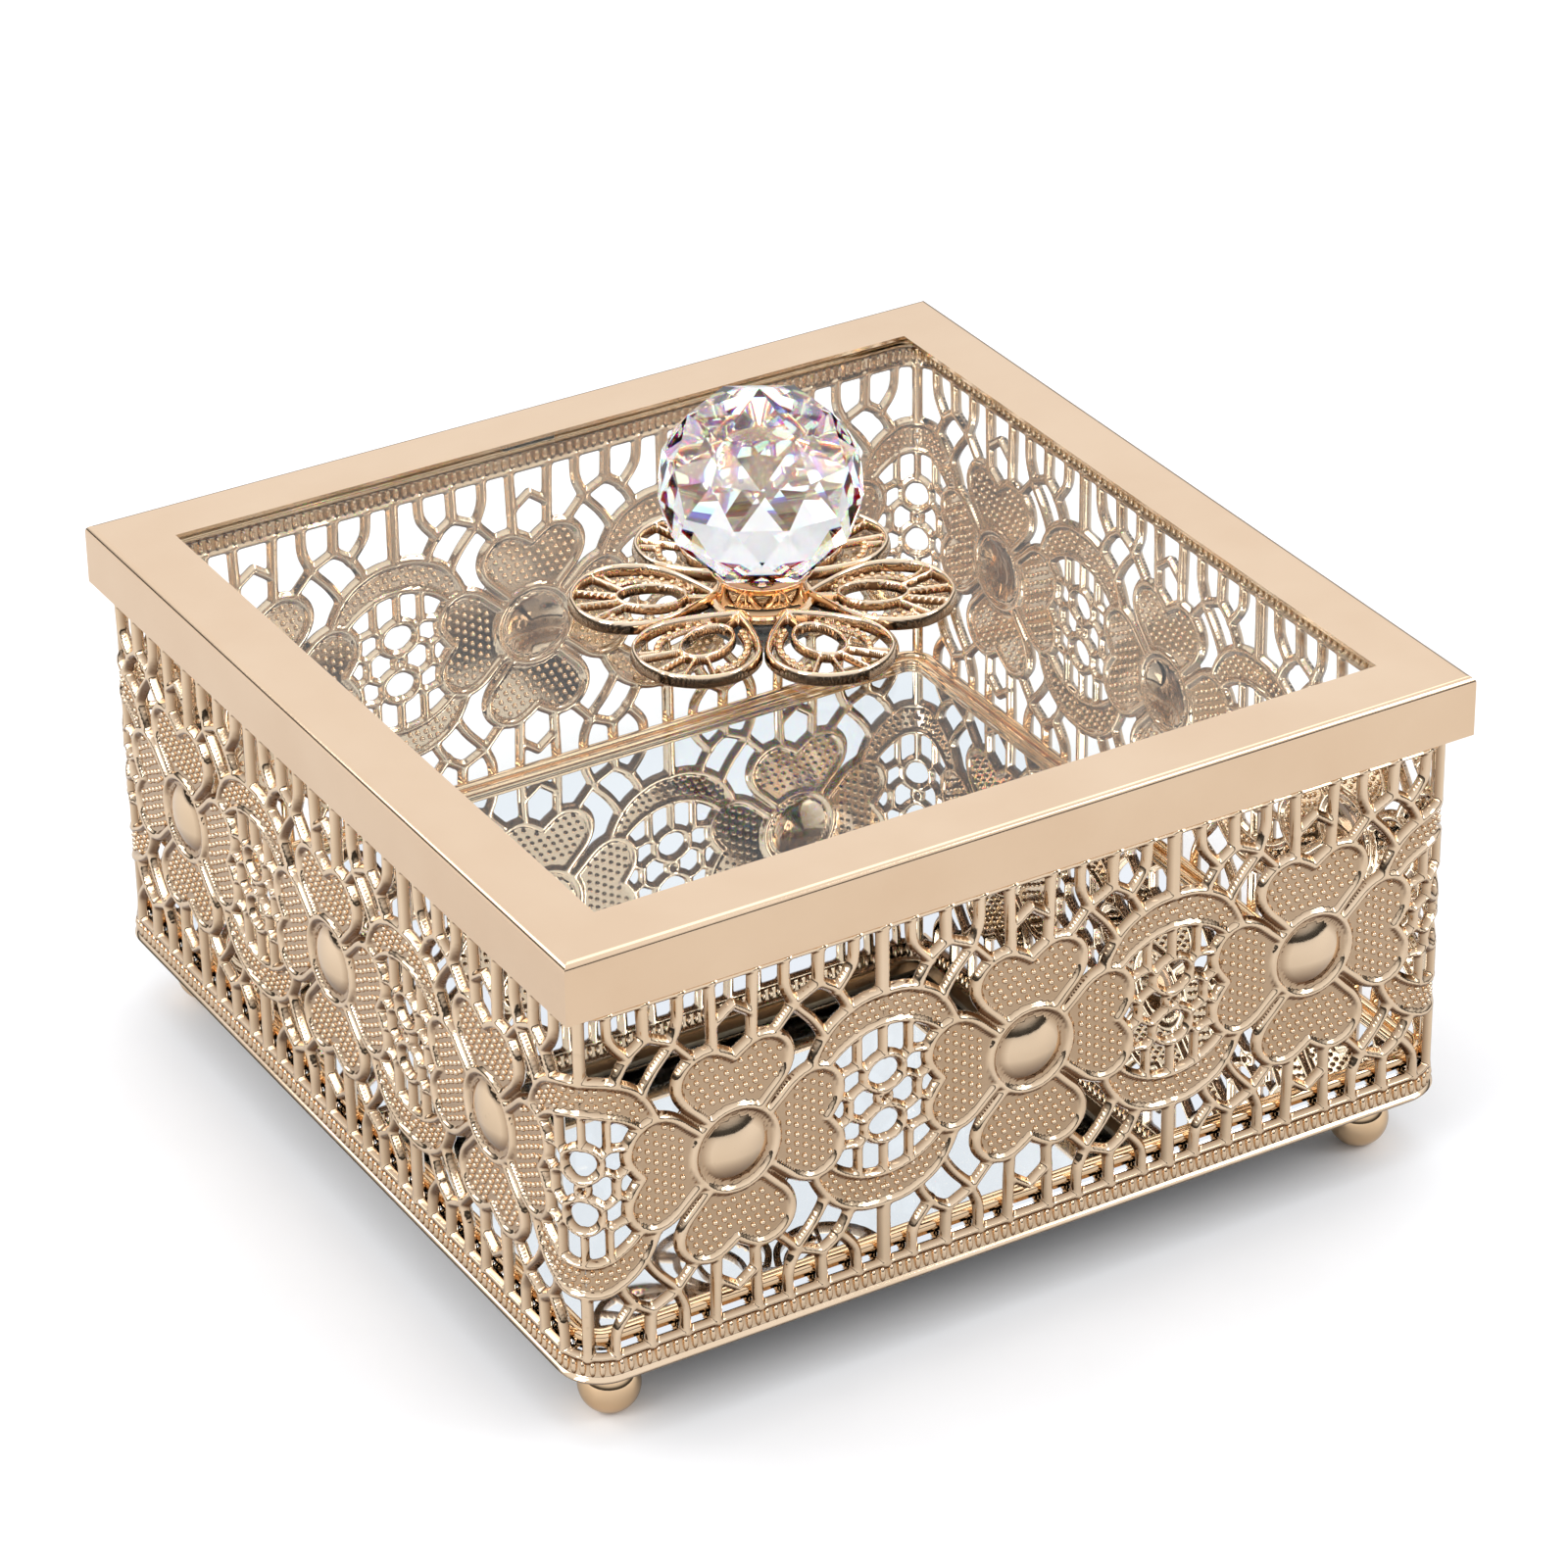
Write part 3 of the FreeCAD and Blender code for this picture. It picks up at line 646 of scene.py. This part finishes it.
def build_mirror():
    """Mirror plate with a wide shallow bevel."""
    bottom, top = mirror_low[2], mirror_high[2]
    profile = [(0, bottom), (0, top - BEVEL_DROP - EDGE_CHAMFER), (EDGE_CHAMFER, top - BEVEL_DROP),
               (BEVEL_WIDTH, top)]
    plate = square_sweep("mirror_plate", profile, mirror_high[0], MIRROR_CORNER, mirror_glass,
                         capped=True, smooth=False)
    declare(plate, "box", "mirror")


def build_bezel():
    """Two rolled beads, the outer one higher, between the wall and the mirror."""
    base = bezel_low[2]
    profile = [(BEZEL_INSETS[0], base + BEZEL_LIFT)]
    for middle, height, radius in BEZEL_BEADS:
        for turn in np.radians(np.linspace(180, 0, 13)):
            profile.append((middle + radius * math.cos(turn),
                            base + height + radius * math.sin(turn)))
    profile.append((BEZEL_INSETS[1], base + BEZEL_LIFT))
    bezel = square_sweep("mirror_bezel_beads", profile, bezel_high[0], BEZEL_CORNER, gold_polished)
    declare(bezel, "box", "mirror_bezel")


# ---------------------------------------------------------------- materials
def material(name):
    made = bpy.data.materials.new(name)
    made.use_nodes = True
    tree = made.node_tree
    tree.nodes.clear()
    output = tree.nodes.new("ShaderNodeOutputMaterial")
    return made, tree, output


def node(tree, kind, inputs=None, **settings):
    made = tree.nodes.new(kind)
    for key, value in settings.items():
        setattr(made, key, value)
    for key, value in (inputs or {}).items():
        if isinstance(value, bpy.types.NodeSocket):
            tree.links.new(value, made.inputs[key])
        else:
            made.inputs[key].default_value = value
    return made


def noise(tree, scale, detail=3.0, rough=0.5):
    """Noise in object space, scale in features per metre."""
    coordinates = node(tree, "ShaderNodeTexCoord").outputs["Object"]
    return node(tree, "ShaderNodeTexNoise", {"Vector": coordinates, "Scale": scale,
                                             "Detail": detail, "Roughness": rough}).outputs["Fac"]


def ramp(tree, factor, stops):
    """A colour that runs through the stops, each a (place, colour)."""
    made = node(tree, "ShaderNodeValToRGB", {"Fac": factor})
    elements = made.color_ramp.elements
    while len(elements) < len(stops):
        elements.new(0.5)
    for element, (place, colour) in zip(elements, stops):
        element.position = place
        element.color = (*colour, 1)
    return made.outputs["Color"]


def span(tree, factor, low, high, out_low, out_high):
    """Maps low..high onto out_low..out_high and holds the ends."""
    return node(tree, "ShaderNodeMapRange", {"Value": factor, "From Min": low, "From Max": high,
                                             "To Min": out_low, "To Max": out_high}).outputs["Result"]


def mix(tree, factor, a, b):
    """Blends two colours. The Mix node's colour sockets are its 6th and 7th inputs."""
    made = tree.nodes.new("ShaderNodeMix")
    made.data_type = "RGBA"
    for key, value in ((0, factor), (6, a), (7, b)):
        if isinstance(value, bpy.types.NodeSocket):
            tree.links.new(value, made.inputs[key])
        else:
            made.inputs[key].default_value = value if key == 0 else (*value, 1)
    return made.outputs[2]


def bump(tree, height, strength, distance):
    return node(tree, "ShaderNodeBump", {"Height": height, "Strength": strength,
                                         "Distance": distance}).outputs["Normal"]


# painted shade: the browns that a relief's depths and down-facing faces are darkened to
PAINTED_RECESS_SHADE = (0.32, 0.19, 0.10)
PAINTED_UNDERSIDE_SHADE = (0.16, 0.08, 0.04)


def metal(name, light, dark, rough_low, rough_high, grain=0.02, recess=None, specks=True):
    """Plated metal: broad tone changes and fine polish marks.

    recess paints shade onto a relief, darker in its depths and where it faces down: it is the pair
    of upward parts of the normal between which the metal goes from darkest to its own colour.
    """
    made, tree, output = material(name)
    tone = noise(tree, 55, 4)
    colour = ramp(tree, tone, [(0.32, dark), (0.68, light)])
    fine = noise(tree, 1500, 2)
    rough = span(tree, mix(tree, 0.5, tone, fine), 0.3, 0.7, rough_low, rough_high)
    if recess:
        # painted shade: browner the deeper a point lies in the relief
        depth = node(tree, "ShaderNodeAttribute", attribute_name="recess").outputs["Fac"]
        shade = span(tree, depth, 0.14, 0.85, 0.0, 0.88)
        facing = node(tree, "ShaderNodeNewGeometry").outputs["Normal"]
        slope = node(tree, "ShaderNodeSeparateXYZ", {"Vector": facing}).outputs["Z"]
        # painted shade: darker brown where the normal faces down
        under = span(tree, slope, *recess, 0.92, 0.0)
        colour = mix(tree, shade, colour, PAINTED_RECESS_SHADE)
        colour = mix(tree, under, colour, PAINTED_UNDERSIDE_SHADE)
    if specks:
        spots = span(tree, noise(tree, 420, 5, 0.65), 0.66, 0.74, 0.0, 0.35)
        colour = mix(tree, spots, colour, [c * 0.7 for c in dark])
    shader = node(tree, "ShaderNodeBsdfPrincipled", {
        "Base Color": colour, "Metallic": 1.0, "Roughness": rough,
        "Normal": bump(tree, fine, grain, 0.0002)})
    tree.links.new(shader.outputs[0], output.inputs["Surface"])
    return made


def glass_shader(tree, colour, index):
    return node(tree, "ShaderNodeBsdfGlass", {"Color": (*colour, 1), "Roughness": 0.0,
                                              "IOR": index})


def clear_glass(name, tint, index, spread=0.0, split=0.0):
    """Clear glass. A share of its light can be split, so that red, green and blue bend
    by indices that are spread apart."""
    made, tree, output = material(name)
    shader = glass_shader(tree, [c * (1 - split) for c in tint], index)
    if split:
        for shift, colour in ((-1, (split, 0, 0)), (0, (0, split, 0)), (1, (0, 0, split))):
            band = glass_shader(tree, colour, index + shift * spread)
            shader = node(tree, "ShaderNodeAddShader", {0: shader.outputs[0],
                                                        1: band.outputs[0]})
    clear = node(tree, "ShaderNodeBsdfTransparent", {"Color": (*tint, 1)})
    ray = node(tree, "ShaderNodeLightPath").outputs["Is Shadow Ray"]
    blend = node(tree, "ShaderNodeMixShader", {0: ray, 1: shader.outputs[0], 2: clear.outputs[0]})
    tree.links.new(blend.outputs[0], output.inputs["Surface"])
    return made


def silvered_glass():
    """The mirror: bright metal with a faint haze under a clear coat."""
    made, tree, output = material("mirror_glass")
    haze = span(tree, noise(tree, 60, 5, 0.6), 0.5, 0.8, 0.008, 0.05)
    colour = ramp(tree, noise(tree, 25, 2), [(0.35, (0.80, 0.83, 0.86)),
                                             (0.65, (0.86, 0.88, 0.90))])
    shader = node(tree, "ShaderNodeBsdfPrincipled", {
        "Base Color": colour, "Metallic": 1.0, "Roughness": haze,
        "Coat Weight": 0.6, "Coat Roughness": 0.02})
    tree.links.new(shader.outputs[0], output.inputs["Surface"])
    return made


def matte(name, light, dark, scale, rough, depth, sheen=0.0):
    """Card or felt: a grain of the given scale and depth that also changes the colour."""
    made, tree, output = material(name)
    grain = noise(tree, scale, 6, 0.65)
    colour = ramp(tree, grain, [(0.3, dark), (0.7, light)])
    shader = node(tree, "ShaderNodeBsdfPrincipled", {
        "Base Color": colour, "Roughness": rough, "Sheen Weight": sheen,
        "Normal": bump(tree, grain, 0.6, depth)})
    tree.links.new(shader.outputs[0], output.inputs["Surface"])
    return made


def silicone(name, tint):
    """Clear, slightly hazy rubber or adhesive."""
    made, tree, output = material(name)
    haze = span(tree, noise(tree, 700, 4), 0.3, 0.7, 0.15, 0.35)
    lighter = [min(1, c * 1.05) for c in tint]
    shader = node(tree, "ShaderNodeBsdfPrincipled", {
        "Base Color": ramp(tree, noise(tree, 300), [(0.3, tint), (0.7, lighter)]),
        "Roughness": haze, "Transmission Weight": 0.9, "IOR": 1.41})
    tree.links.new(shader.outputs[0], output.inputs["Surface"])
    return made


gold_filigree = metal("gold_filigree", (0.90, 0.70, 0.50), (0.83, 0.63, 0.43), 0.05, 0.10,
                      grain=0.03, recess=(-0.42, -0.08))
gold_satin = metal("gold_satin", (0.88, 0.66, 0.46), (0.84, 0.615, 0.42), 0.08, 0.13, specks=False)
gold_polished = metal("gold_polished", (0.92, 0.68, 0.44), (0.88, 0.62, 0.38), 0.03, 0.07,
                      grain=0.01, specks=False)
gold_rosette = metal("gold_rosette", (0.96, 0.76, 0.56), (0.90, 0.68, 0.47), 0.02, 0.05,
                     grain=0.01, recess=(0.12, 0.42), specks=False)
# a darker, browner copy of the polished gold: painted shade for the collar under the ball
gold_shaded_collar = metal("gold_shaded_collar", (0.80, 0.52, 0.30), (0.68, 0.41, 0.22), 0.03, 0.06,
                    grain=0.01, specks=False)
gold_plate = metal("gold_plate", (0.80, 0.66, 0.48), (0.70, 0.56, 0.40), 0.25, 0.4, grain=0.08)
steel = metal("steel", (0.66, 0.66, 0.67), (0.52, 0.52, 0.53), 0.2, 0.35, grain=0.06)
pane_glass = clear_glass("pane_glass", (0.985, 0.995, 0.99), index=1.25)
crystal = clear_glass("crystal", (1.0, 1.0, 1.0), index=1.56, spread=0.025, split=0.24)
mirror_glass = silvered_glass()
grey_card = matte("grey_card", (0.48, 0.46, 0.43), (0.36, 0.35, 0.33), 900, 0.9, 0.0001)
felt = matte("felt", (0.07, 0.07, 0.075), (0.02, 0.02, 0.022), 1600, 0.97, 0.0004, sheen=0.4)
clear_adhesive = silicone("clear_adhesive", (0.86, 0.88, 0.88))
clear_rubber = silicone("clear_rubber", (0.90, 0.91, 0.91))

# ---------------------------------------------------------------- CAD nodes kept as they are
CAD_MATERIALS = {
    "base_plate": gold_plate, "mirror_card": grey_card, "base_felt": felt,
    "foot_washers": steel, "foot_screws": steel,
    "foot_front_left": gold_polished, "foot_front_right": gold_polished,
    "foot_rear_left": gold_polished, "foot_rear_right": gold_polished,
    "lid_frame": gold_satin, "glass_bed": clear_adhesive, "lid_glass": pane_glass,
    "glass_retainer": gold_plate, "lid_bumpers": clear_rubber, "rosette_pad": clear_rubber,
    "knob_collar": gold_shaded_collar, "crystal_ball": crystal, "rubber_washer": clear_rubber,
    "steel_washer": steel, "knob_screw": steel,
}
for name, chosen in CAD_MATERIALS.items():
    mesh = nodes[name].data
    mesh.materials.clear()
    mesh.materials.append(chosen)

build_wall()
build_rosette()
build_mirror()
build_bezel()


# ---------------------------------------------------------------- floor, light and camera
def add_floor():
    """White paper, greyer where the metal reflects it."""
    made, tree, output = material("floor_paper")
    grain = noise(tree, 40, 3)
    colour = ramp(tree, grain, [(0.3, (0.93, 0.93, 0.93)), (0.7, (0.95, 0.95, 0.95))])
    mirrored = node(tree, "ShaderNodeLightPath").outputs["Is Reflection Ray"]
    colour = mix(tree, mirrored, colour, (0.62, 0.61, 0.60))
    shader = node(tree, "ShaderNodeBsdfPrincipled", {"Base Color": colour, "Roughness": 0.6,
                                                     "Specular IOR Level": 0.2})
    tree.links.new(shader.outputs[0], output.inputs["Surface"])
    mesh = bpy.data.meshes.new("floor")
    size = 6.0
    mesh.from_pydata([(-size, -size, 0), (size, -size, 0), (size, size, 0), (-size, size, 0)], [],
                     [(0, 1, 2, 3)])
    mesh.materials.append(made)
    floor = bpy.data.objects.new("floor", mesh)
    scene.collection.objects.link(floor)


def add_light(name, place, aim, size, power):
    data = bpy.data.lights.new(name, "AREA")
    data.shape = "RECTANGLE"
    data.size, data.size_y = size
    data.energy = power
    lamp = bpy.data.objects.new(name, data)
    scene.collection.objects.link(lamp)
    lamp.location = place
    lamp.rotation_euler = (Vector(aim) - Vector(place)).to_track_quat("-Z", "Y").to_euler()


def add_world():
    """Studio sky: dark at the horizon, bright from 15 degrees up, and brighter through glass."""
    world = bpy.data.worlds.new("studio")
    scene.world = world
    world.use_nodes = True
    tree = world.node_tree
    tree.nodes.clear()
    direction = node(tree, "ShaderNodeTexCoord").outputs["Generated"]
    height = node(tree, "ShaderNodeSeparateXYZ", {"Vector": direction}).outputs["Z"]
    colour = ramp(tree, span(tree, height, -1, 1, 0, 1), [
        (0.50, (0.03, 0.03, 0.03)), (0.56, (0.08, 0.08, 0.08)), (0.63, (0.62, 0.63, 0.65)),
        (0.72, (0.94, 0.96, 1.0))])
    through = node(tree, "ShaderNodeLightPath").outputs["Is Transmission Ray"]
    through_share = 0.8
    colour = mix(tree, span(tree, through, 0, 1, 0, through_share), colour, (0.96, 0.97, 1.0))
    background = node(tree, "ShaderNodeBackground", {"Color": colour, "Strength": 1.05})
    output = node(tree, "ShaderNodeOutputWorld")
    tree.links.new(background.outputs[0], output.inputs["Surface"])


def add_camera():
    """Stands 0.9 m from the box, 30 degrees above it, over its front left corner."""
    place = Vector((-0.39164, -0.67335, 0.49958))
    aim = Vector((0.00241, -0.00142, 0.05022))
    roll = math.radians(-0.8186)
    data = bpy.data.cameras.new("camera")
    data.lens = 137.376
    data.sensor_width = 36.0
    data.clip_start, data.clip_end = 0.01, 20.0
    camera = bpy.data.objects.new("camera", data)
    scene.collection.objects.link(camera)
    forward = (aim - place).normalized()
    level = forward.cross(Vector((0, 0, 1))).normalized()
    upward = level.cross(forward)
    right = level * math.cos(roll) + upward * math.sin(roll)
    top = right.cross(forward)
    axes = Matrix((right, top, -forward)).transposed().to_4x4()
    camera.matrix_world = Matrix.Translation(place) @ axes
    scene.camera = camera


add_floor()
add_world()
add_light("key_left", (-1.1, -0.3, 0.75), (0, 0, 0.05), (0.5, 0.7), 5.0)
add_light("key_right", (0.9, -0.8, 0.8), (0, 0, 0.05), (0.5, 0.6), 4.5)
add_light("top", (0.2, 0.3, 1.4), (0, 0, 0.05), (1.25, 1.25), 4.2)
add_light("fill_left", (-0.7, 0.6, 0.6), (-0.2, 0.25, 0), (0.5, 0.5), 2.0)
add_camera()
scene.view_settings.view_transform = "Standard"
